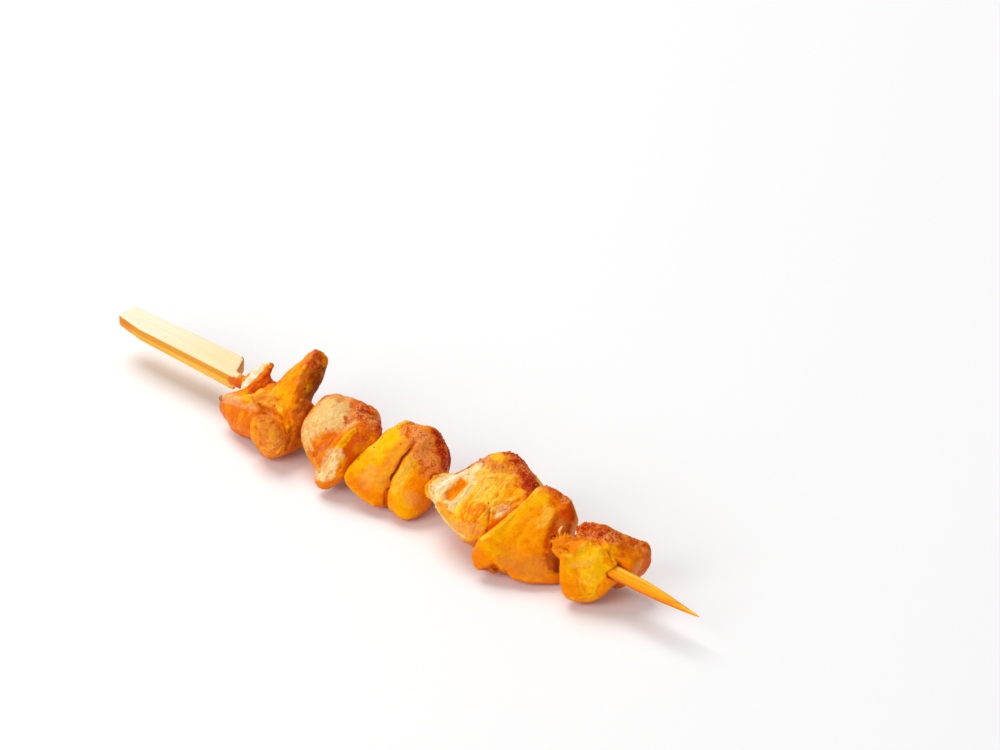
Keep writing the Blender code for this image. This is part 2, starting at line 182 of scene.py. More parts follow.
photo = {
    "azimuth": 43.42,
    "elevation": 32.0,
    "distance": 3.0,
    "pixelsPerMetre": 4464.0,
    "middle": (500.0, 375.0),
    "aimPixel": (404.35, 465.04),
    "rodRadius": 0.0016,
    "sensor": 36.0,
    "width": 1000,
    "clipping": (0.1, 30.0),
}
turn, rise = math.radians(photo["azimuth"]), math.radians(photo["elevation"])
back = Vector((math.sin(turn) * math.cos(rise), -math.cos(turn) * math.cos(rise), math.sin(rise)))
right = Vector((math.cos(turn), math.sin(turn), 0))
up = back.cross(right)
skewerLow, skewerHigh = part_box("skewer")
aim = Vector((0.0, skewerLow.y + photo["rodRadius"], skewerHigh.z - photo["rodRadius"]))


# where a pixel lies on the plane through the rod that faces the camera
def planePoint(pixel):
    across = (pixel[0] - photo["aimPixel"][0]) / photo["pixelsPerMetre"]
    down = (pixel[1] - photo["aimPixel"][1]) / photo["pixelsPerMetre"]
    return aim + right * across - up * down


eye = planePoint(photo["middle"]) + back * photo["distance"]


def addCamera():
    camera = bpy.data.objects.new("camera", bpy.data.cameras.new("camera"))
    scene.collection.objects.link(camera)
    camera.location = eye
    camera.rotation_mode = "QUATERNION"
    camera.rotation_quaternion = back.to_track_quat("Z", "Y")
    camera.data.sensor_width = photo["sensor"]
    frameWidth = photo["width"] / photo["pixelsPerMetre"]
    camera.data.lens = photo["sensor"] * photo["distance"] / frameWidth
    camera.data.clip_start, camera.data.clip_end = photo["clipping"]
    scene.camera = camera


# Floor and light

studio = {
    "floorSize": 3.0,
    "floorColour": (0.96, 0.96, 0.96, 1.0),
    "floorRoughness": 0.6,
    "skyColour": (1.0, 1.0, 1.0, 1.0),
    "skyPower": 0.3,
    "lamps": [
        {"name": "key", "from": (-0.6, 0.15, 1.0), "distance": 1.6, "size": 1.0, "power": 17.0},
        {"name": "fill", "from": (-0.1, -1.0, 0.6), "distance": 1.8, "size": 1.2, "power": 15.0},
        {"name": "side", "from": (1.0, -0.5, 0.35), "distance": 1.6, "size": 0.8, "power": 3.0},
    ],
}


def addFloor():
    bm = bmesh.new()
    bmesh.ops.create_grid(bm, x_segments=1, y_segments=1, size=studio["floorSize"] / 2)
    floor = linkMesh("floor", bm)
    paper = Finish("floor")
    floor.data.materials.append(paper.finish(Base_Color=studio["floorColour"],
                                             Roughness=studio["floorRoughness"]))


def addLight():
    world = bpy.data.worlds.new("studio")
    world.use_nodes = True
    sky = world.node_tree.nodes["Background"].inputs
    sky["Strength"].default_value = studio["skyPower"]
    sky["Color"].default_value = studio["skyColour"]
    scene.world = world
    for lamp in studio["lamps"]:
        light = bpy.data.objects.new(lamp["name"], bpy.data.lights.new(lamp["name"], "AREA"))
        scene.collection.objects.link(light)
        light.data.size = lamp["size"]
        light.data.energy = lamp["power"]
        direction = Vector(lamp["from"]).normalized()
        light.location = direction * lamp["distance"]
        light.rotation_mode = "QUATERNION"
        light.rotation_quaternion = direction.to_track_quat("Z", "Y")
    scene.view_settings.view_transform = "Standard"


# Mesh helpers; the pieces are shaped in millimetres and turned to metres at the end

meshing = {
    "weld": 0.002,
    "softening": 0.5,
    "noiseCells": 32,
    "noiseShift": 57.3,  # keeps the noise's own grid off the middle of the skewer
}


def linkMesh(name, bm):
    mesh = bpy.data.meshes.new(name)
    bm.to_mesh(mesh)
    bm.free()
    made = bpy.data.objects.new(name, mesh)
    scene.collection.objects.link(made)
    return made


def copyNode(name, newName):
    bm = bmesh.new()
    bm.from_mesh(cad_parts[name].data)
    bmesh.ops.remove_doubles(bm, verts=bm.verts, dist=meshing["weld"] * millimetre)
    bmesh.ops.scale(bm, vec=(metre, metre, metre), verts=bm.verts)
    return linkMesh(newName, bm)


def bakeModifiers(made):
    bpy.context.view_layer.update()
    graph = bpy.context.evaluated_depsgraph_get()
    mesh = bpy.data.meshes.new_from_object(made.evaluated_get(graph))
    made.modifiers.clear()
    old = made.data
    made.data = mesh
    bpy.data.meshes.remove(old)


def growSkin(made, voxel, steps):
    remesh = made.modifiers.new("skin", "REMESH")
    remesh.mode = "VOXEL"
    remesh.voxel_size = voxel
    smooth = made.modifiers.new("soften", "SMOOTH")
    smooth.factor = meshing["softening"]
    smooth.iterations = steps
    bakeModifiers(made)


def dress(made, material):
    for polygon in made.data.polygons:
        polygon.use_smooth = True
    made.data.transform(Matrix.Scale(millimetre, 4))
    made.data.materials.clear()
    made.data.materials.append(material)


def readRows(items, label, width, kind):
    rows = np.empty(len(items) * width, kind)
    items.foreach_get(label, rows)
    return rows.reshape(-1, width)


def readPoints(made):
    return readRows(made.data.vertices, "co", 3, np.float32).astype(float)


def readNormals(made):
    return readRows(made.data.vertices, "normal", 3, np.float32).astype(float)


def readEdges(made):
    return readRows(made.data.edges, "vertices", 2, np.int32)


def writePoints(made, points):
    made.data.vertices.foreach_set("co", points.astype(np.float32).ravel())
    made.data.update()


# evens out values given at the vertices, along the edges
def spread(values, edges, steps):
    count = np.bincount(edges.ravel(), minlength=len(values)).astype(float)
    for step in range(steps):
        total = np.empty_like(values)
        for axis in range(values.shape[1]):
            total[:, axis] = np.bincount(edges[:, 0], values[edges[:, 1], axis], len(values))
            total[:, axis] += np.bincount(edges[:, 1], values[edges[:, 0], axis], len(values))
        values = (values + total / count[:, None]) / 2
    return values


def softNoise(points, size, seed):
    cells = meshing["noiseCells"]
    lattice = np.random.default_rng(seed).uniform(-1, 1, (cells, cells, cells))
    place = points / size + meshing["noiseShift"]
    cell = np.floor(place).astype(int)
    part = place - cell
    part = part * part * (3 - 2 * part)
    total = np.zeros(len(points))
    for corner in itertools.product((0, 1), repeat=3):
        weight = np.prod(np.where(corner, part, 1 - part), axis=1)
        index = (cell + corner) % cells
        total += weight * lattice[index[:, 0], index[:, 1], index[:, 2]]
    return total


def stretched(points, direction, stretch):
    direction = np.array(Vector(direction).normalized())
    along = points @ direction
    return points - np.outer(along * (1 - 1 / stretch), direction)


def smoothStep(values, low, high):
    share = np.clip((values - low) / (high - low), 0, 1)
    return share * share * (3 - 2 * share)


def pathDistance(points, path):
    if len(path) == 1:
        return np.linalg.norm(points - path[0], axis=1)
    nearest = np.full(len(points), np.inf)
    for start, end in zip(path, path[1:]):
        run = end - start
        share = np.clip((points - start) @ run / max(run @ run, shortest), 0, 1)
        distance = np.linalg.norm(points - start - share[:, None] * run, axis=1)
        nearest = np.minimum(nearest, distance)
    return nearest


def surfaceTree(made):
    return BVHTree.FromPolygons([v.co for v in made.data.vertices],
                                [tuple(p.vertices) for p in made.data.polygons])


# where pixels of the photo fall on a piece; a pixel beside it takes the nearest point of its edge
def castPixels(tree, points, pixels):
    start = eye * metre
    places = []
    for pixel in pixels:
        direction = (planePoint(pixel) * metre - start).normalized()
        hit = tree.ray_cast(start, direction)[0]
        if hit is None:
            offsets = points - np.array(start)
            along = offsets @ np.array(direction)
            aside = np.linalg.norm(offsets - np.outer(along, np.array(direction)), axis=1)
            hit = points[np.argmin(aside)]
        places.append(np.array(hit))
    return places


def pixelDistance(tree, points, pixels):
    return pathDistance(points, castPixels(tree, points, pixels))


class Paint:
    def __init__(self, count, base):
        self.colour = np.tile(linear(base), (count, 1))

    def mix(self, name, share):
        share = np.clip(share, 0, 1)[:, None]
        self.colour = self.colour * (1 - share) + np.array(linear(name)) * share

    def addTints(self, tints, masks, shares):
        for name, strength, mask, low, high, share in tints:
            self.mix(name, strength * smoothStep(masks[mask], low, high) * shares[share])

    def addStrokes(self, strokes, tree, points, wobble, edge):
        for name, width, strength, pixels in strokes:
            distance = pixelDistance(tree, points, pixels) / width + wobble
            self.mix(name, strength * smoothStep(1 - distance, 0, edge))

    def store(self, mesh):
        tint = mesh.color_attributes.new("tint", "FLOAT_COLOR", "POINT")
        rows = np.column_stack([self.colour, np.ones(len(self.colour))])
        tint.data.foreach_set("color", rows.astype(np.float32).ravel())


def storeValues(mesh, label, values):
    layer = mesh.attributes.new(label, "FLOAT", "POINT")
    layer.data.foreach_set("value", values.astype(np.float32))


# The pieces of meat. Heights, widths and sizes are in millimetres, and paths in the photo's pixels:
# fibre: the way that the fibres run
# forms: (height, width, path), raised or pressed in
# bubbles: (height, width, path), uneven along the path
# strands: (thin end, thick end, lift, path), from the tip to the root
# clean: (width, path), where no crust lies
# paint: (colour, width, strength, path); some strokes are painted shade and some painted
# highlights, as noted at each
# streaks: (colour, size of a line, width, strength, path), lines along the path; some are painted
# highlights, as noted at each
# crust: (width, strength, darkness, path); darkness makes the crust redder and darker, and along
# right-hand edges it is partly painted shade
foldedPiece = {
    "base": "amber",
    "fibre": (0.2, 0.9, 0.6),
    "fibreDepth": 0.08,
    "wrinkle": 0.18,
    "forms": [
        (-1.0, 1.0, [(246, 403), (258, 406), (270, 411), (282, 419)]),
        (-0.9, 0.8, [(256, 415), (257, 428), (262, 446)]),
        (-0.8, 0.8, [(289, 421), (291, 435), (286, 448)]),
        (0.45, 0.7, [(220, 395), (238, 400), (252, 406), (264, 411), (282, 417)]),
        (-0.9, 0.9, [(248, 394), (262, 387), (272, 382)]),
        (0.5, 0.5, [(246, 391), (256, 383), (266, 373), (272, 365)]),
        (-0.4, 0.5, [(264, 414), (268, 430), (268, 448)]),
        (-0.4, 0.5, [(273, 413), (279, 428), (278, 444)]),
        (0.4, 0.7, [(250, 397), (264, 392), (278, 389)]),
        (-0.5, 0.6, [(254, 401), (268, 398), (282, 400)]),
        (0.45, 0.7, [(286, 414), (294, 392), (303, 372), (314, 355)]),
        (-0.5, 0.9, [(298, 402), (306, 386), (314, 370)]),
        (0.3, 0.6, [(288, 427), (283, 441), (277, 452)]),
    ],
    "bubbles": [
        (0.4, 3.2, [(254, 394), (270, 400), (280, 396)]),
        (0.6, 1.6, [(257, 416), (257, 428), (262, 442)]),
        (0.45, 2.6, [(270, 420), (276, 438)]),
    ],
    "clean": [(1.8, [(240, 390), (252, 376), (268, 361)]), (2.2, [(266, 430), (274, 440)])],
    "paint": [
        ("orange", 5.5, 0.9, [(232, 418), (250, 424), (240, 432)]),
        ("copper", 3.0, 0.6, [(234, 416), (248, 420)]),
        ("copper", 2.0, 0.8, [(220, 403), (224, 412)]),
        ("copper", 1.2, 0.8, [(230, 436), (246, 444), (262, 453)]),
        ("mauve", 1.5, 0.9, [(224, 396), (240, 402), (250, 405)]),
        ("mauve", 0.7, 0.7, [(250, 405), (266, 411), (282, 417)]),
        ("sand", 0.6, 0.8, [(222, 394), (240, 398), (264, 410), (276, 413)]),
        ("gold", 3.0, 0.9, [(250, 397), (264, 398), (280, 406)]),
        ("peach", 2.2, 0.45, [(256, 396), (268, 396), (276, 402)]),
        ("straw", 0.8, 0.8, [(246, 396), (262, 391), (276, 388)]),
        ("straw", 0.7, 0.8, [(258, 402), (272, 404), (282, 410)]),
        ("rust", 0.6, 0.95, [(259, 404)]),
        ("rust", 0.5, 0.95, [(275, 407)]),
        ("toast", 4.4, 0.95, [(266, 422), (272, 440)]),
        # painted highlight: a pale rim along the right edge of the front lobe
        ("yellow", 0.45, 0.9, [(288, 427), (283, 440), (277, 452)]),
        ("orange", 2.4, 0.95, [(290, 412), (296, 394), (304, 374), (314, 356)]),
        # painted light: gold on the crest's lit left face
        ("gold", 1.0, 0.8, [(288, 404), (296, 384), (306, 366)]),
        # painted shade: darker orange on the crest's shaded right face
        ("orange", 1.9, 0.95, [(300, 388), (307, 376), (315, 362)]),
        ("burnt", 1.8, 0.6, [(308, 374), (318, 356)]),
        ("rust", 0.9, 0.6, [(309, 366), (311, 372)]),
        # painted shade: brown and sienna down the right-hand side, where the next piece shades it
        ("brown", 3.4, 0.95, [(322, 376), (314, 394), (305, 412)]),
        ("sienna", 3.0, 0.85, [(302, 424), (296, 434), (292, 446)]),
        ("ivory", 1.2, 1.0, [(240, 390), (252, 377), (264, 363), (268, 360)]),
        ("burnt", 1.5, 0.9, [(254, 391), (264, 385), (272, 374)]),
        ("rust", 0.8, 0.9, [(254, 389), (263, 381), (270, 370)]),
        ("sienna", 0.6, 0.9, [(271, 361), (272, 366)]),
        ("ember", 0.45, 0.8, [(272, 362)]),
        ("brown", 0.7, 0.8, [(220, 396), (222, 399)]),
    ],
    "streaks": [
        ("sand", 0.35, 4.0, 0.45, [(264, 414), (275, 448)]),
        ("copper", 0.3, 4.0, 0.6, [(262, 414), (273, 448)]),
        ("burnt", 0.5, 2.2, 0.4, [(296, 398), (312, 362)]),
        ("peach", 0.4, 1.6, 0.5, [(298, 380), (314, 358)]),
    ],
    "crust": [(1.8, 0.6, 0.3, [(319, 357), (312, 366)])],
}

roundPiece = {
    "base": "amber",
    "fibre": (0.4, 0.7, 0.6),
    "fibreDepth": 0.07,
    "wrinkle": 0.13,
    "forms": [
        (-0.9, 0.8, [(353, 425), (343, 434), (335, 445), (327, 458), (319, 472)]),
        (0.4, 0.7, [(355, 430), (344, 441), (336, 452)]),
        (0.25, 0.4, [(331, 456), (321, 476)]),
        (0.25, 0.4, [(336, 458), (326, 478)]),
        (0.25, 0.4, [(340, 462), (332, 478)]),
        (-0.5, 1.0, [(352, 406), (362, 412), (374, 415)]),
        (0.3, 0.5, [(305, 430), (309, 446), (316, 460)]),
        (-0.35, 0.9, [(346, 421)]),
    ],
    "bubbles": [(0.3, 3.0, [(340, 402), (356, 404)])],
    "clean": [(5.0, [(312, 430), (322, 416), (335, 408)]), (2.5, [(333, 456), (321, 477)])],
    "paint": [
        ("tan", 6.0, 1.0, [(312, 430), (322, 416), (335, 405), (344, 414)]),
        ("sand", 1.8, 0.8, [(326, 410), (338, 402)]),
        ("copper", 3.3, 1.0, [(318, 449), (329, 442), (323, 458)]),
        ("orange", 1.4, 0.8, [(314, 443), (332, 437)]),
        ("burnt", 3.0, 1.0, [(360, 432), (354, 446), (347, 460)]),
        ("gold", 1.0, 0.95, [(353, 430), (343, 441), (336, 451)]),
        ("cream", 2.4, 1.0, [(334, 455), (328, 467), (321, 477)]),
        ("gold", 0.8, 0.4, [(338, 457), (343, 465)]),
        ("orange", 1.6, 1.0, [(320, 485), (332, 484), (343, 478)]),
        ("rust", 0.8, 0.85, [(346, 419), (348, 423)]),
        ("peach", 2.2, 0.8, [(337, 396), (352, 399)]),
        ("copper", 1.4, 0.8, [(354, 403), (366, 404)]),
        ("sand", 0.5, 0.95, [(306, 431), (312, 449), (322, 466)]),
        # painted shade: sienna on the right-hand end
        ("sienna", 3.0, 0.7, [(388, 440), (378, 456)]),
    ],
    "streaks": [
        ("peach", 0.3, 2.2, 0.8, [(321, 477), (334, 454)]),
        ("sand", 0.4, 3.0, 0.3, [(318, 456), (332, 436)]),
    ],
    "crust": [(4.3, 0.9, 0.0, [(364, 414), (378, 424)]), (2.0, 0.9, 0.7, [(382, 424), (384, 436)])],
}

cleftPiece = {
    "base": "amber",
    "fibre": (0.1, 0.8, 0.6),
    "fibreDepth": 0.04,
    "wrinkle": 0.08,
    "forms": [
        (-1.3, 0.8, [(415, 441), (408, 452), (402, 458), (396, 470), (391, 477), (388, 486),
                     (387, 493)]),
        (-0.7, 0.9, [(387, 491), (386, 503)]),
        (0.15, 1.3, [(419, 449), (407, 466), (396, 485)]),
        (0.2, 0.5, [(344, 477), (362, 490), (386, 503)]),
    ],
    "clean": [(5.5, [(360, 470), (376, 448), (392, 436)]), (4.0, [(406, 480), (408, 500)])],
    "paint": [
        ("yellow", 5.5, 1.0, [(364, 456), (380, 441), (396, 430)]),
        # painted highlight: the left lobe's brightest spot
        ("straw", 2.0, 0.35, [(372, 446), (380, 438)]),
        ("gold", 3.8, 0.8, [(354, 472), (366, 464)]),
        ("amber", 3.4, 0.9, [(352, 486), (370, 492)]),
        ("orange", 1.6, 0.7, [(350, 478), (360, 488), (376, 497)]),
        ("peach", 2.4, 0.5, [(372, 472), (366, 480)]),
        ("honey", 3.0, 0.7, [(402, 448), (393, 462), (384, 480)]),
        ("gold", 2.6, 0.8, [(404, 474), (398, 492), (406, 506)]),
        # painted highlight: pale along the right lobe's left bank
        ("straw", 1.5, 0.5, [(416, 454), (406, 469), (395, 488)]),
        ("orange", 2.6, 0.7, [(414, 490), (424, 480)]),
        # painted highlight: a peach spot low on the right lobe
        ("peach", 1.9, 0.55, [(409, 498), (414, 500)]),
        # a pale peach patch in the crust, partly painted highlight
        ("peach", 3.4, 0.6, [(424, 442), (430, 458)]),
        # painted highlight: a thin pale rim along the bottom edge
        ("sand", 0.5, 0.8, [(345, 487), (362, 500), (386, 511)]),
        ("gold", 1.4, 0.8, [(398, 512), (414, 515)]),
        # painted shade: a dark line down the groove
        ("brown", 0.45, 1.0, [(415, 442), (408, 452), (402, 458), (396, 470), (391, 477),
                              (387, 491)]),
    ],
    "streaks": [
        ("orange", 0.5, 4.0, 0.5, [(412, 488), (422, 474)]),
        # painted highlight: pale streaks along the groove's right bank
        ("sand", 0.35, 1.2, 0.2, [(396, 486), (418, 450)]),
    ],
    "crust": [
        (2.8, 0.7, -0.3, [(408, 428), (420, 438)]),
        (4.2, 0.6, -0.8, [(422, 440), (427, 454), (431, 464)]),
        # the right-hand edge: darker, redder crust, partly painted shade
        (1.9, 1.0, 0.7, [(436, 434), (442, 450), (444, 466), (441, 480)]),
        (2.0, 1.0, 0.9, [(448, 450), (449, 464), (446, 478)]),
        (2.0, 1.0, 0.6, [(437, 476), (435, 487)]),
    ],
}

fibrousPiece = {
    "base": "yellow",
    "fibre": (-0.2, 0.98, 0.1),
    "fibreDepth": 0.075,
    "wrinkle": 0.07,
    "forms": [
        (-1.6, 2.3, [(450, 495), (463, 483)]),
        (0.35, 0.6, [(444, 500), (452, 504), (463, 497), (470, 486), (469, 477), (460, 477),
                     (449, 485), (443, 494)]),
        (-0.6, 0.5, [(490, 510), (489, 520), (487, 531)]),
        (-0.6, 0.7, [(438, 503), (448, 510), (458, 519)]),
        (0.35, 0.7, [(434, 509), (448, 522), (464, 536)]),
        (-0.5, 0.7, [(494, 514), (508, 508), (520, 500)]),
        (0.4, 0.6, [(480, 459)]),
    ],
    "bubbles": [(0.3, 5.0, [(486, 500), (504, 480)])],
    "strands": [(0.18, 0.45, 0.2, [(430, 484), (429.5, 488), (431, 492), (434, 497)])],
    "clean": [(5.0, [(436, 496), (452, 492), (466, 480)]), (5.0, [(470, 510), (490, 490)])],
    "paint": [
        ("cream", 4.2, 1.0, [(434, 495), (446, 482), (462, 473), (476, 462)]),
        ("ivory", 0.8, 0.8, [(438, 488), (450, 480), (462, 474)]),
        ("toast", 0.8, 0.7, [(466, 469), (477, 462)]),
        ("cream", 1.6, 1.0, [(446, 504), (455, 506), (466, 494), (473, 482)]),
        ("straw", 1.5, 0.9, [(458, 512), (470, 500), (482, 482), (494, 467)]),
        ("gold", 2.2, 0.95, [(466, 510), (479, 494), (491, 478), (505, 465)]),
        ("straw", 3.2, 0.7, [(486, 498), (498, 482), (506, 474)]),
        ("straw", 1.0, 0.7, [(480, 505), (492, 488)]),
        ("orange", 2.4, 1.0, [(468, 512), (474, 520), (482, 510)]),
        ("amber", 1.75, 1.0, [(451, 495), (462, 485)]),
        ("orange", 0.6, 0.8, [(450, 497), (455, 495)]),
        ("amber", 0.9, 0.9, [(439, 504), (446, 506)]),
        ("peach", 2.2, 0.8, [(456, 526), (464, 531), (476, 530)]),
        ("orange", 1.6, 0.7, [(492, 524), (500, 516)]),
        ("gold", 1.5, 0.8, [(496, 514), (510, 510)]),
        # a pale strand, partly painted highlight
        ("cream", 0.9, 0.9, [(498, 512), (508, 508)]),
        # painted shade: a dark line in the crack
        ("copper", 0.4, 0.8, [(490, 510), (489, 520), (487, 530)]),
        # painted highlight: a pale rim along the lower left edge
        ("sand", 0.6, 0.9, [(434, 510), (448, 524), (464, 537)]),
        ("copper", 0.6, 0.9, [(480, 458)]),
        ("yellow", 1.4, 0.8, [(498, 462), (510, 458)]),
    ],
    "streaks": [
        ("cream", 0.3, 3.0, 0.6, [(470, 494), (488, 470)]),
        ("straw", 0.35, 6.0, 0.6, [(474, 512), (506, 470)]),
        ("orange", 0.35, 5.0, 0.5, [(484, 516), (512, 486)]),
        # pale strand lines, partly painted highlight
        ("cream", 0.32, 1.8, 1.0, [(494, 514), (512, 506)]),
    ],
    "crust": [
        (3.3, 1.0, 0.25, [(516, 455), (523, 468), (530, 482)]),
        # the right-hand edge: darker, redder crust, partly painted shade
        (2.4, 1.0, 0.9, [(532, 482), (533, 494)]),
        (1.0, 0.7, 0.0, [(479, 459)]),
        (1.0, 0.5, -0.2, [(458, 473), (470, 466)]),
    ],
}

smoothFlap = {
    "base": "amber",
    "fibre": (0.7, 0.3, 0.3),
    "fibreDepth": 0.03,
    "wrinkle": 0.05,
    "forms": [
        (0.35, 0.6, [(540, 488), (522, 506), (500, 528), (480, 540)]),
        (-0.5, 2.2, [(557, 524), (552, 540), (549, 556)]),
        (-1.9, 1.8, [(485, 573), (494, 569), (503, 576)]),
        (-0.15, 0.9, [(526, 528), (516, 540)]),
    ],
    "bubbles": [(0.3, 2.0, [(546, 516), (540, 524)])],
    "clean": [(9.0, [(500, 545), (530, 525), (530, 560)])],
    "paint": [
        ("amber", 6.0, 1.0, [(516, 530), (534, 516), (500, 540)]),
        # painted highlight: a light rim along the top-left edge
        ("straw", 0.6, 0.9, [(540, 488), (522, 506), (500, 528), (482, 539)]),
        ("gold", 2.2, 0.8, [(530, 500), (514, 516), (498, 534)]),
        ("orange", 3.2, 0.9, [(472, 552), (480, 562)]),
        ("gold", 1.4, 0.7, [(486, 545), (496, 552)]),
        ("toast", 3.2, 0.7, [(508, 558), (524, 566), (538, 568)]),
        ("amber", 2.6, 0.7, [(506, 546), (520, 552)]),
        # painted highlight: a pale spot
        ("straw", 1.6, 0.35, [(544, 518), (549, 512), (540, 524)]),
        ("yellow", 2.0, 0.7, [(540, 500), (548, 496)]),
        # painted shade: where the top lobe curves away
        ("burnt", 3.0, 0.95, [(560, 500), (567, 512), (562, 524)]),
        ("rust", 2.2, 0.7, [(565, 504), (568, 516)]),
        ("orange", 2.0, 0.8, [(556, 494), (562, 504)]),
        # painted shade: the right-hand side fading to brown
        ("sienna", 3.0, 1.0, [(560, 528), (553, 545), (556, 562)]),
        ("rust", 1.6, 0.6, [(553, 528), (549, 546)]),
        ("brown", 1.2, 0.9, [(556, 556), (557, 570)]),
        # painted shade: in the hollow under the arch
        ("sienna", 1.5, 0.95, [(484, 572), (494, 569), (503, 576)]),
        ("brown", 0.9, 0.9, [(496, 571), (505, 577)]),
    ],
    "streaks": [
        ("gold", 0.6, 5.0, 0.4, [(500, 545), (535, 520)]),
        # painted highlight: pale grain streaks
        ("sand", 0.25, 1.8, 0.35, [(540, 522), (548, 510)]),
    ],
    "crust": [(2.0, 0.5, 0.1, [(552, 489), (566, 500)])],
}

endPiece = {
    "base": "gold",
    "fibre": (0.2, -0.4, 0.9),
    "fibreDepth": 0.03,
    "wrinkle": 0.06,
    "forms": [
        (0.35, 0.8, [(563, 554), (571, 556), (577, 550), (585, 544), (594, 541), (606, 543)]),
        (-0.7, 0.8, [(552, 546), (560, 548), (567, 551)]),
        (-0.5, 0.8, [(609, 552), (614, 562)]),
        (-0.4, 0.8, [(574, 569), (590, 567)]),
        (-0.4, 0.7, [(600, 586), (596, 594)]),
        (0.35, 0.6, [(562, 592), (580, 597), (596, 594)]),
        (-0.5, 0.7, [(566, 542), (578, 540), (586, 536)]),
    ],
    "bubbles": [(0.35, 3.0, [(604, 546), (616, 548)])],
    "strands": [
        (0.25, 0.5, 0.2, [(562, 527), (559.5, 530), (561, 536), (566, 539), (572, 536)]),
        (0.2, 0.5, 0.2, [(551, 540.5), (558, 543), (567, 547)]),
        (0.2, 0.5, 0.2, [(552, 549), (559, 549), (567, 553)]),
    ],
    "clean": [(4.5, [(575, 575), (595, 570)])],
    "paint": [
        ("gold", 6.0, 1.0, [(580, 568), (596, 566), (588, 584)]),
        ("yellow", 3.2, 0.7, [(588, 558), (600, 562), (592, 578)]),
        ("amber", 1.0, 0.8, [(563, 560), (563, 580), (566, 594)]),
        # painted highlight: a peach band under the petal's top
        ("peach", 1.0, 0.4, [(573, 566), (582, 563), (590, 563)]),
        ("straw", 0.4, 0.5, [(563, 554), (571, 556), (577, 550), (585, 544)]),
        ("amber", 1.8, 0.9, [(564, 578), (574, 582), (576, 576)]),
        ("orange", 2.2, 0.8, [(566, 590), (578, 591)]),
        ("copper", 0.9, 0.9, [(562, 599), (578, 603), (594, 601)]),
        ("orange", 2.6, 0.9, [(570, 546), (560, 546), (576, 540)]),
        ("cream", 0.6, 1.0, [(562, 526), (560, 530)]),
        ("gold", 2.4, 0.9, [(610, 548), (620, 554)]),
        ("orange", 3.4, 1.0, [(626, 554), (634, 564), (626, 574)]),
        ("amber", 1.8, 0.6, [(623, 556), (626, 562)]),
        ("copper", 2.6, 0.9, [(645, 546), (649, 556), (646, 566), (636, 578)]),
        ("burnt", 1.6, 0.7, [(649, 552), (648, 566)]),
        ("copper", 2.0, 1.0, [(608, 576), (611, 570), (617, 566)]),
        ("orange", 1.0, 0.8, [(606, 560), (612, 564)]),
        # painted shade: darker orange low at the right, below the rod
        ("orange", 1.8, 0.8, [(606, 584), (602, 594)]),
    ],
    "streaks": [
        ("straw", 0.4, 3.0, 0.6, [(592, 548), (590, 584)]),
        ("copper", 0.4, 3.5, 0.5, [(614, 546), (636, 556)]),
    ],
    "crust": [
        (3.8, 0.95, 0.1, [(580, 528), (596, 532), (612, 536)]),
        (2.2, 0.5, 0.1, [(626, 539), (642, 546), (648, 554)]),
    ],
}

pieces = {
    "chicken_1": foldedPiece,
    "chicken_2": roundPiece,
    "chicken_3": cleftPiece,
    "chicken_4": fibrousPiece,
    "chicken_5": smoothFlap,
    "chicken_6": endPiece,
}

meat = {
    "coarseVoxel": 0.3,
    "coarseSteps": 20,
    "fineVoxel": 0.16,
    "fineSteps": 2,
    "growth": 0.12,
    "strandStep": 0.12,
}

# (size in millimetres, seed)
meatNoise = {
    "lumps": (1.3, 2),
    "dimples": (0.6, 8),
    "fibres": (0.65, 5),
    "folds": (2.4, 7),
    "drift": (2.6, 60),
    "bubbles": (1.1, 40),
    "grains": (0.62, 9),
    "fineGrains": (0.34, 10),
    "bits": (0.3, 13),
    "crustCover": (3.0, 11),
    "crustWobble": (1.1, 3),
    "fineCrustWobble": (0.45, 4),
    "patches": (1.3, 15),
    "broad": (4.5, 21),
    "middle": (1.5, 22),
    "wobble": (1.0, 23),
    "fineWobble": (0.4, 24),
}


def meatNoiseAt(points, label, number):
    size, seed = meatNoise[label]
    return softNoise(points, size, number + seed)


def growStrand(bm, tree, points, thin, thick, lift, pixels):
    root = castPixels(tree, points, [pixels[-1]])[0]
    start, toward = np.array(eye) * metre, np.array(back)
    path = []
    for pixel in pixels:
        ray = np.array(planePoint(pixel)) * metre - start
        path.append(start + ray * ((root - start) @ toward) / (ray @ toward) + toward * lift)
    lengths = [np.linalg.norm(b - a) for a, b in zip(path, path[1:])]
    total, walked = sum(lengths), 0.0
    for first, second, length in zip(path, path[1:], lengths):
        for step in np.arange(0, length, meat["strandStep"]):
            radius = thin + (thick - thin) * (walked + step) / total
            place = Matrix.Translation(first + (second - first) * step / length)
            bmesh.ops.create_icosphere(bm, subdivisions=1, radius=radius, matrix=place)
        walked += length


def shapePiece(name, settings, number):
    made = copyNode(name, name.replace("chicken", "meat"))
    growSkin(made, meat["coarseVoxel"], meat["coarseSteps"])
    points = readPoints(made)
    normals = readNormals(made)
    tree = surfaceTree(made)
    move = np.full(len(points), meat["growth"])
    for height, width, pixels in settings["forms"]:
        distance = pixelDistance(tree, points, pixels)
        move = move + height * smoothStep(1 - distance / width, 0, 1)
    for height, width, pixels in settings.get("bubbles", []):
        distance = pixelDistance(tree, points, pixels)
        near = smoothStep(1 - distance / width, 0, 1)
        move += height * near * meatNoiseAt(points, "bubbles", number)
    writePoints(made, points + normals * move[:, None])
    bm = bmesh.new()
    bm.from_mesh(made.data)
    for strand in settings.get("strands", []):
        growStrand(bm, tree, points, *strand)
    bm.to_mesh(made.data)
    bm.free()
    growSkin(made, meat["fineVoxel"], meat["fineSteps"])
    return made


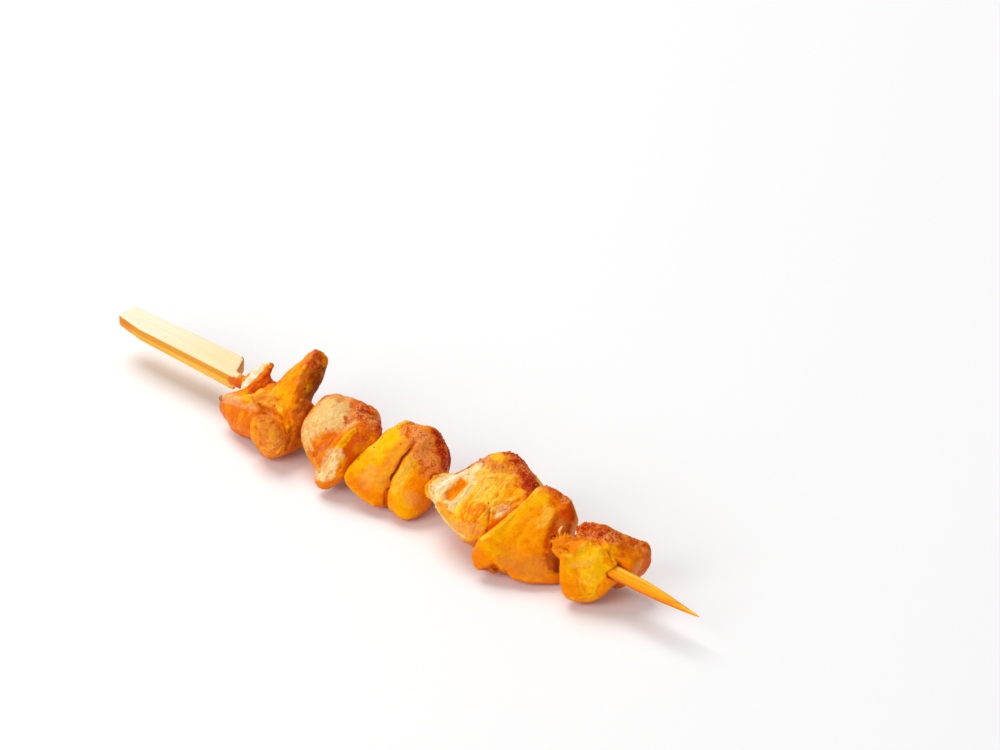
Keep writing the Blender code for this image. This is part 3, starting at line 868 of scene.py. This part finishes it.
# pairs are the values where a mask starts and where it is full
crusting = {
    "fineWobble": 0.6,
    "cover": (-0.1, 0.6),
    "farSide": (-0.4, 0.2),
    "nearShare": 0.3,
    "farShare": 0.5,
    "upward": (0.2, 0.9),
    "cleanWobble": 0.2,
    "cleanEdge": (0.7, 1.2),
    "wobble": 0.25,
    "edge": (-0.05, 0.85),
}
dusting = {"share": 0.85, "darkShare": 0.5, "least": 0.15, "anywhere": 0.008, "upward": (0.0, 0.5)}


def farSide(normals):
    return -(normals @ np.array(back))


def crustLayers(points, normals, tree, settings, number):
    wobble = meatNoiseAt(points, "crustWobble", number)
    wobble += crusting["fineWobble"] * meatNoiseAt(points, "fineCrustWobble", number)
    away = smoothStep(farSide(normals), *crusting["farSide"])
    crust = crusting["nearShare"] + crusting["farShare"] * away
    crust *= smoothStep(normals[:, 2], *crusting["upward"])
    crust *= smoothStep(meatNoiseAt(points, "crustCover", number), *crusting["cover"])
    for width, pixels in settings["clean"]:
        distance = pixelDistance(tree, points, pixels) / width
        distance += crusting["cleanWobble"] * wobble
        crust *= smoothStep(distance, *crusting["cleanEdge"])
    # how much darker and redder the crust is made; on right-hand edges this is partly painted shade
    dark = np.zeros(len(points))
    for width, strength, darkness, pixels in settings["crust"]:
        distance = pixelDistance(tree, points, pixels) / width
        distance += crusting["wobble"] * wobble
        mask = strength * smoothStep(1 - distance, *crusting["edge"])
        crust = np.maximum(crust, mask)
        dark = dark * (1 - mask) + darkness * mask
    return crust, dark


def storeCrust(mesh, normals, crust, dark):
    dust = crust * np.clip(dusting["share"] + dusting["darkShare"] * dark, dusting["least"], 1)
    dust = (dust + dusting["anywhere"]) * smoothStep(normals[:, 2], *dusting["upward"])
    storeValues(mesh, "crust", crust)
    storeValues(mesh, "dust", dust)


# depths in millimetres
relief = {
    "drift": 0.5,
    "fibreStretch": 9,
    "fibreEdge": (0, 0.3),
    "foldStretch": 2.5,
    "foldEdge": (0, 0.4),
    "grainShare": 0.7,
    "fineGrainShare": 0.6,
    "lumpDepth": 0.08,
    "dimpleDepth": 0.03,
    "grainDepth": 0.22,
    "bitDepth": 0.08,
    "crustCalm": 0.7,  # how far the crust hides the fibres
}

brush = {
    "wobble": 0.22,
    "fineWobble": 0.16,
    "edge": 0.45,
    "streakStretch": 10,
    "streakEdge": 0.5,
    "streakLines": (0.0, 0.35),
    "streakSeed": 31,
    "creaseSteps": 6,
    "hollowSteps": 70,
    "unevenPerDepth": 10,
    "darkPatches": 1.2,
    "redGrainPatches": 0.8,
    "redBitPatches": 0.7,
    "paleBitPatches": 0.4,
    "darkCrust": 0.9,
    "leastCrust": 0.3,
}

# (colour, strength, mask, the mask's values where the tint starts and is full, share)
groundTints = [
    ("orange", 0.7, "broad", 0.0, 0.7, "all"),
    ("yellow", 0.5, "broadDips", 0.1, 0.7, "all"),
    ("amber", 0.6, "farSide", -0.1, 0.4, "all"),
    # painted shade: the sides that face the point are tinted darker orange
    ("orange", 0.6, "shadedPointSide", 0.5, 0.9, "all"),
]

# tints that follow the relief, the crust and the ground; those on ridges, creases, hollows, near
# the ground and underneath are painted highlight and painted shade
reliefTints = [
    ("copper", 0.35, "middle", 0.1, 0.6, "uneven"),
    ("yellow", 0.35, "middleDips", 0.15, 0.6, "uneven"),
    # painted shade: darker copper in the grooves between the fibre bundles
    ("copper", 0.4, "grooves", -0.25, -0.05, "uneven"),
    # painted highlight: the ridges of the relief are tinted lighter yellow
    ("yellow", 0.35, "ridges", 0.02, 0.07, "unevenBare"),
    # painted shade: creases and hollows are tinted darker
    ("orange", 0.6, "creases", 0.01, 0.04, "all"),
    ("burnt", 0.6, "creases", 0.04, 0.1, "all"),
    ("rust", 0.7, "hollows", 0.18, 0.6, "all"),
    ("copper", 0.85, "crust", 0.0, 0.5, "darkCrust"),
    # pale patches in the crust: the crust's own colour, partly painted highlight
    ("peach", 0.95, "palePatches", -0.1, 0.4, "crust"),
    ("rust", 0.85, "redGrains", -0.1, 0.3, "crust"),
    ("chilli", 0.8, "redBits", 0.25, 0.5, "crust"),
    # pale crust bits: the crust's own grains, partly painted glints
    ("salmon", 0.75, "paleBits", 0.1, 0.35, "crust"),
    # painted shade: copper close to the ground
    ("copper", 0.6, "shadeNearGround", -3.0, 0.0, "all"),
    # painted shade: a burnt tint on the faces that look down
    ("burnt", 0.7, "shadedUnderside", 0.1, 0.8, "all"),
]


def addStreaks(paint, points, tree, settings, wobble, number):
    for name, size, width, strength, pixels in settings["streaks"]:
        path = castPixels(tree, points, pixels)
        drawn = stretched(points, path[-1] - path[0], brush["streakStretch"])
        lines = softNoise(drawn, size, number + brush["streakSeed"])
        distance = pathDistance(points, path) / width + wobble
        inside = smoothStep(1 - distance, 0, brush["streakEdge"])
        paint.mix(name, strength * inside * smoothStep(lines, *brush["streakLines"]))


def addRelief(made, points, crust, settings, number):
    drift = np.column_stack([meatNoiseAt(points, "drift", number + axis) for axis in range(3)])
    drifted = points + relief["drift"] * drift
    strung = stretched(drifted, settings["fibre"], relief["fibreStretch"])
    bundles = smoothStep(np.abs(meatNoiseAt(strung, "fibres", number)), *relief["fibreEdge"])
    strung = stretched(drifted, settings["fibre"], relief["foldStretch"])
    folds = smoothStep(np.abs(meatNoiseAt(strung, "folds", number)), *relief["foldEdge"])
    grains = relief["grainShare"] * meatNoiseAt(points, "grains", number)
    grains += relief["fineGrainShare"] * meatNoiseAt(points, "fineGrains", number)
    bits = meatNoiseAt(points, "bits", number)
    lumps = relief["lumpDepth"] * meatNoiseAt(points, "lumps", number)
    lumps += relief["dimpleDepth"] * meatNoiseAt(points, "dimples", number)
    height = settings["fibreDepth"] * bundles * (1 - relief["crustCalm"] * crust)
    height += settings["wrinkle"] * folds
    height += lumps
    height += crust * (relief["grainDepth"] * np.abs(grains) + relief["bitDepth"] * bits)
    shaped = points + readNormals(made) * height[:, None]
    writePoints(made, shaped)
    return {"points": shaped, "drifted": drifted, "bundles": bundles, "grains": grains,
            "bits": bits}


def tintMasks(points, edges, normals, crust, dark, skin, number):
    broad = meatNoiseAt(points, "broad", number)
    middle = meatNoiseAt(skin["drifted"], "middle", number)
    patches = meatNoiseAt(points, "patches", number) + brush["darkPatches"] * dark
    # creases and hollows: how far the evened-out surface stands off each point; they carry painted
    # shade, and turned round as ridges, painted highlight
    creases, hollows = (
        np.einsum("ij,ij->i", spread(skin["points"], edges, brush[steps]) - skin["points"], normals)
        for steps in ("creaseSteps", "hollowSteps"))
    return {
        "broad": broad,
        "broadDips": -broad,
        "farSide": farSide(normals),
        # the sides facing the point, which get painted shade
        "shadedPointSide": normals[:, 0],
        "middle": middle,
        "middleDips": -middle,
        "grooves": -skin["bundles"],
        "ridges": -creases,
        "creases": creases,
        "hollows": hollows,
        "crust": crust,
        "palePatches": -patches,
        "redGrains": skin["grains"] + brush["redGrainPatches"] * patches,
        "redBits": skin["bits"] + brush["redBitPatches"] * patches,
        "paleBits": -skin["bits"] - brush["paleBitPatches"] * patches,
        "shadeNearGround": -points[:, 2],
        "shadedUnderside": -normals[:, 2],
    }


def paintPiece(made, settings, number):
    points = readPoints(made)
    edges = readEdges(made)
    tree = surfaceTree(made)
    crust, dark = crustLayers(points, readNormals(made), tree, settings, number)
    skin = addRelief(made, points, crust, settings, number)
    normals = readNormals(made)
    masks = tintMasks(points, edges, normals, crust, dark, skin, number)
    uneven = min(1.0, brush["unevenPerDepth"] * settings["fibreDepth"])
    shares = {
        "all": 1.0,
        "uneven": uneven,
        "unevenBare": (1 - crust) * uneven,
        "crust": crust,
        "darkCrust": np.clip(1 + brush["darkCrust"] * dark, brush["leastCrust"], 1),
    }
    wobble = brush["wobble"] * meatNoiseAt(points, "wobble", number)
    wobble += brush["fineWobble"] * meatNoiseAt(skin["drifted"], "fineWobble", number)
    paint = Paint(len(points), settings["base"])
    paint.addTints(groundTints, masks, shares)
    paint.addStrokes(settings["paint"], tree, points, wobble, brush["edge"])
    addStreaks(paint, points, tree, settings, wobble, number)
    paint.addTints(reliefTints, masks, shares)
    paint.store(made.data)
    storeCrust(made.data, normals, crust, dark)


# noises are (size in millimetres, detail, roughness)
glaze = {
    "mottle": (1.2, 3.0, 0.6),
    "speck": (0.3, 2.0, 0.6),
    "noiseMiddle": 0.5,
    "shades": [(0.36, (0.86, 0.66, 0.45)), (0.56, (1.0, 1.0, 1.0))],
    "shading": 0.5,
    "mottleHeight": 0.6,
    "bumpDepth": 0.14,
    "bumpStrength": 0.7,
    "roughness": 0.34,
    "crustRoughness": 0.3,
    "speckRoughness": 0.25,
    "specular": 0.1,
    "specularTint": (1.0, 0.5, 0.12, 1.0),
    "coat": 0.03,
    "coatRoughness": 0.12,
    "subsurface": 0.06,
    "subsurfaceRadius": (1.0, 0.4, 0.15),
    "subsurfaceScale": 0.0015,
}


def meatFinish(name):
    skin = Finish(name)
    place = skin.place()
    tint = skin.attribute("tint", "Color")
    crust = skin.attribute("crust", "Fac")
    mottle = skin.noise(place, *glaze["mottle"])
    speck = skin.noise(place, *glaze["speck"])
    shade = skin.ramp(mottle, glaze["shades"])
    roughness = glaze["roughness"] + glaze["crustRoughness"] * crust
    roughness = roughness + glaze["speckRoughness"] * (speck - glaze["noiseMiddle"])
    height = speck + glaze["mottleHeight"] * mottle
    return skin.finish(
        Base_Color=skin.multiply(glaze["shading"], tint, shade),
        Roughness=roughness,
        Specular_IOR_Level=glaze["specular"],
        Specular_Tint=glaze["specularTint"],
        Coat_Weight=glaze["coat"] * (1 - crust),
        Coat_Roughness=glaze["coatRoughness"],
        Subsurface_Weight=glaze["subsurface"],
        Subsurface_Radius=glaze["subsurfaceRadius"],
        Subsurface_Scale=glaze["subsurfaceScale"],
        Normal=skin.bump(height, glaze["bumpDepth"], glaze["bumpStrength"]),
    )


def addMeat():
    meatPieces = []
    for number, (name, settings) in enumerate(pieces.items()):
        made = shapePiece(name, settings, number)
        paintPiece(made, settings, number)
        dress(made, meatFinish(made.name))
        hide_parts(name)
        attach(made, "root")
        print("made", made.name, len(made.data.polygons), "faces")
        meatPieces.append(made)
    return meatPieces


# Chilli, scattered over the meat by Geometry Nodes; sizes in millimetres, density per square one

chilli = {
    "chilli_flakes": {"density": 0.6, "smallest": 0.3, "largest": 0.7, "flatness": 0.4, "seed": 4},
    "chilli_powder": {"density": 8.0, "smallest": 0.12, "largest": 0.3, "flatness": 0.8, "seed": 9},
}

# one chip, of size 1 before it is scaled; angles in radians
chipShape = {
    "radius": 0.5,
    "jag": 0.2,
    "jagSeed": 3,
    "narrowness": 0.7,
    "tilt": 0.6,
    "fullTurn": 6.28,
    "hues": [(0.0, "chilli"), (0.35, "rust"), (0.65, "copper"), (0.88, "sienna"), (0.98, "olive")],
    "hueSeed": 17,
    "roughness": 0.6,
}


def scatterTree(material):
    tree = bpy.data.node_groups.new("chilli scatter", "GeometryNodeTree")
    sockets = {}
    for label, kind in (("Meat", "NodeSocketCollection"), ("Density", "NodeSocketFloat"),
                        ("Smallest", "NodeSocketFloat"), ("Largest", "NodeSocketFloat"),
                        ("Flatness", "NodeSocketFloat"), ("Seed", "NodeSocketInt")):
        made = tree.interface.new_socket(label, in_out="INPUT", socket_type=kind)
        sockets[label] = made.identifier
    tree.interface.new_socket("Geometry", in_out="OUTPUT", socket_type="NodeSocketGeometry")
    inputs = tree.nodes.new("NodeGroupInput").outputs

    def add(kind, links, **settings):
        node = tree.nodes.new(kind)
        for label, setting in settings.items():
            setattr(node, label, setting)
        for label, part in links.items():
            if isinstance(part, bpy.types.NodeSocket):
                tree.links.new(part, node.inputs[label])
            else:
                node.inputs[label].default_value = part
        return node.outputs

    def randomValue(least, most, seed):
        return add("FunctionNodeRandomValue", {2: least, 3: most, "Seed": seed},
                   data_type="FLOAT")[1]

    def randomVector(least, most, seed):
        return add("FunctionNodeRandomValue", {0: least, 1: most, "Seed": seed},
                   data_type="FLOAT_VECTOR")[0]

    bed = add("GeometryNodeCollectionInfo", {"Collection": inputs["Meat"]})["Instances"]
    skin = add("GeometryNodeRealizeInstances", {"Geometry": bed})["Geometry"]
    dust = add("GeometryNodeInputNamedAttribute", {"Name": "dust"}, data_type="FLOAT")["Attribute"]
    density = add("ShaderNodeMath", {0: dust, 1: inputs["Density"]}, operation="MULTIPLY")[0]
    spots = add("GeometryNodeDistributePointsOnFaces",
                {"Mesh": skin, "Density": density, "Seed": inputs["Seed"]})

    radius, jag, tilt = chipShape["radius"], chipShape["jag"], chipShape["tilt"]
    chip = add("GeometryNodeMeshIcoSphere", {"Radius": radius, "Subdivisions": 1})["Mesh"]
    offset = randomVector((-jag, -jag, -jag), (jag, jag, jag), chipShape["jagSeed"])
    chip = add("GeometryNodeSetPosition", {"Geometry": chip, "Offset": offset})["Geometry"]
    squash = add("ShaderNodeCombineXYZ",
                 {"X": 1.0, "Y": chipShape["narrowness"], "Z": inputs["Flatness"]})[0]
    chip = add("GeometryNodeTransform", {"Geometry": chip, "Scale": squash})["Geometry"]

    lean = randomVector((-tilt, -tilt, 0.0), (tilt, tilt, chipShape["fullTurn"]), inputs["Seed"])
    lean = add("FunctionNodeEulerToRotation", {"Euler": lean})[0]
    lean = add("FunctionNodeRotateRotation", {"Rotation": spots["Rotation"], "Rotate By": lean},
               rotation_space="LOCAL")[0]
    size = randomValue(inputs["Smallest"], inputs["Largest"], inputs["Seed"])
    chips = add("GeometryNodeInstanceOnPoints", {"Points": spots["Points"], "Instance": chip,
                                                 "Rotation": lean, "Scale": size})["Instances"]
    hue = randomValue(0.0, 1.0, chipShape["hueSeed"])
    chips = add("GeometryNodeStoreNamedAttribute", {"Geometry": chips, "Name": "hue", "Value": hue},
                data_type="FLOAT", domain="INSTANCE")["Geometry"]
    solid = add("GeometryNodeRealizeInstances", {"Geometry": chips})["Geometry"]
    solid = add("GeometryNodeSetMaterial", {"Geometry": solid, "Material": material})["Geometry"]
    tree.links.new(solid, tree.nodes.new("NodeGroupOutput").inputs["Geometry"])
    return tree, sockets


def chilliFinish():
    spice = Finish("chilli")
    stops = [(place, linear(name)) for place, name in chipShape["hues"]]
    colour = spice.ramp(spice.attribute("hue", "Fac"), stops)
    return spice.finish(Base_Color=colour, Roughness=chipShape["roughness"])


def addChilli(meatPieces):
    bed = bpy.data.collections.new("meat")
    for piece in meatPieces:
        bed.objects.link(piece)
    tree, sockets = scatterTree(chilliFinish())
    for name, settings in chilli.items():
        made = linkMesh(name, bmesh.new())
        scatter = made.modifiers.new("scatter", "NODES")
        scatter.node_group = tree
        scatter[sockets["Meat"]] = bed
        scatter[sockets["Density"]] = settings["density"] / millimetre ** 2
        scatter[sockets["Smallest"]] = settings["smallest"] * millimetre
        scatter[sockets["Largest"]] = settings["largest"] * millimetre
        scatter[sockets["Flatness"]] = settings["flatness"]
        scatter[sockets["Seed"]] = settings["seed"]
        bakeModifiers(made)
        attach(made, "root")
        print("made", made.name, len(made.data.polygons), "faces")
    bpy.data.collections.remove(bed)


# The bamboo skewer; lengths in millimetres, from the middle toward the handle

bamboo = {
    "voxel": 0.22,
    "softenSteps": 3,
    "grain": {"stretch": 60.0, "size": 0.3, "seed": 71},
    "grainDepth": 0.03,
    "bands": {"stretch": 30, "size": 0.7, "seed": 72},
    "rodBands": 0.35,
    "handleBands": 0.5,
    "shoulder": (51.0, 52.2),
    # the handle's top turns paler toward its outer end, between these distances and by these shares
    "paleOuterEnd": (55.0, 88.0),
    "paleShares": (0.35, 0.65),
    "facingUp": (0.5, 0.9),
    # painted shade at the handle's shoulder: copper where the rod meets it and a brown spot at its
    # corner
    "shoulderShade": [
        ("copper", 1.4, 0.9, [(231, 381), (240, 383)]),
        ("brown", 0.55, 0.95, [(244, 358), (244.5, 368)]),
    ],
    "shoulderShadeEdge": 0.5,
}

bambooTints = [
    # painted light on the rod: lighter gold on top, a pale straw highlight streak, and painted
    # shade in copper beneath
    ("gold", 0.8, "upward", 0.2, 0.6, "rod"),
    ("straw", 0.85, "upward", 0.75, 1.0, "rod"),
    ("copper", 0.5, "grain", 0.25, 0.5, "rod"),
    ("copper", 0.8, "downward", -0.3, 0.2, "rod"),
    ("bamboo", 1.0, "handleward", *bamboo["shoulder"], "all"),
    # painted colour cast: honey bands along the handle's sides, high and low
    ("honey", 0.9, "level", 0.5, 0.6, "handle"),
    ("honey", 0.7, "depth", -0.18, -0.08, "handle"),
    ("copper", 0.5, "handleward", 83.0, 86.0, "handle"),
    ("honey", 0.4, "grain", 0.2, 0.6, "handle"),
    ("cream", 1.0, "top", *bamboo["facingUp"], "handle"),
    ("ivory", 1.0, "top", *bamboo["facingUp"], "paleOuterEnd"),
    ("cream", 0.3, "lines", 0.1, 0.7, "handleTop"),
]
meatStain = [("burnt", 0.7, "handleward", 46.0, 51.0, "rod")]

wood = {
    "squeeze": (0.02, 1.0, 1.0),
    "lines": (0.25, 3.0, 0.6),
    "shades": [(0.3, (0.82, 0.72, 0.5)), (0.6, (1.0, 1.0, 1.0))],
    "shading": 0.4,
    "roughness": 0.5,
    "lineRoughness": 0.2,
    "specular": 0.15,
    "bumpDepth": 0.04,
    "bumpStrength": 0.6,
}


def bambooNoise(points, settings):
    drawn = stretched(points, (1, 0, 0), settings["stretch"])
    return softNoise(drawn, settings["size"], settings["seed"])


def paintBamboo(made):
    points = readPoints(made)
    normals = readNormals(made)
    tree = surfaceTree(made)
    grain = bambooNoise(points, bamboo["grain"])
    bands = bambooNoise(points, bamboo["bands"])
    writePoints(made, points + normals * (bamboo["grainDepth"] * grain)[:, None])
    low, high = points[:, 2].min(), points[:, 2].max()
    level = (points[:, 2] - low) / (high - low)
    handleward = -points[:, 0]
    # which way the rod faces, with banding; it places painted light on top and painted shade
    # beneath
    upward = normals[:, 2] + bamboo["rodBands"] * bands
    handle = smoothStep(handleward, *bamboo["shoulder"])
    nearPale, farPale = bamboo["paleShares"]
    masks = {
        "upward": upward,
        "downward": -upward,
        "top": normals[:, 2],
        "level": level,
        "depth": -level,
        "handleward": handleward,
        "grain": grain,
        "lines": grain + bamboo["handleBands"] * bands,
    }
    shares = {
        "all": 1.0,
        "rod": 1 - handle,
        "handle": handle,
        "handleTop": smoothStep(normals[:, 2], *bamboo["facingUp"]) * handle,
        "paleOuterEnd": handle * (nearPale + farPale * smoothStep(handleward, *bamboo["paleOuterEnd"])),
    }
    paint = Paint(len(points), "amber")
    paint.addTints(bambooTints, masks, shares)
    paint.addStrokes(bamboo["shoulderShade"], tree, points, 0, bamboo["shoulderShadeEdge"])
    paint.addTints(meatStain, masks, shares)
    paint.store(made.data)


def bambooFinish():
    stick = Finish("bamboo")
    tint = stick.attribute("tint", "Color")
    mapped = {"Vector": stick.place(), "Scale": wood["squeeze"]}
    place = stick.node("ShaderNodeMapping", {}, mapped)
    lines = stick.noise(place, *wood["lines"])
    shade = stick.ramp(lines, wood["shades"])
    return stick.finish(
        Base_Color=stick.multiply(wood["shading"], tint, shade),
        Roughness=wood["roughness"] + wood["lineRoughness"] * lines,
        Specular_IOR_Level=wood["specular"],
        Normal=stick.bump(lines, wood["bumpDepth"], wood["bumpStrength"]),
    )


def addSkewer():
    made = copyNode("skewer", "bamboo_skewer")
    growSkin(made, bamboo["voxel"], bamboo["softenSteps"])
    paintBamboo(made)
    dress(made, bambooFinish())
    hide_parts("skewer")
    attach(made, "root")
    print("made", made.name, len(made.data.polygons), "faces")


addCamera()
addFloor()
addLight()
print("camera and light set")
addChilli(addMeat())
addSkewer()
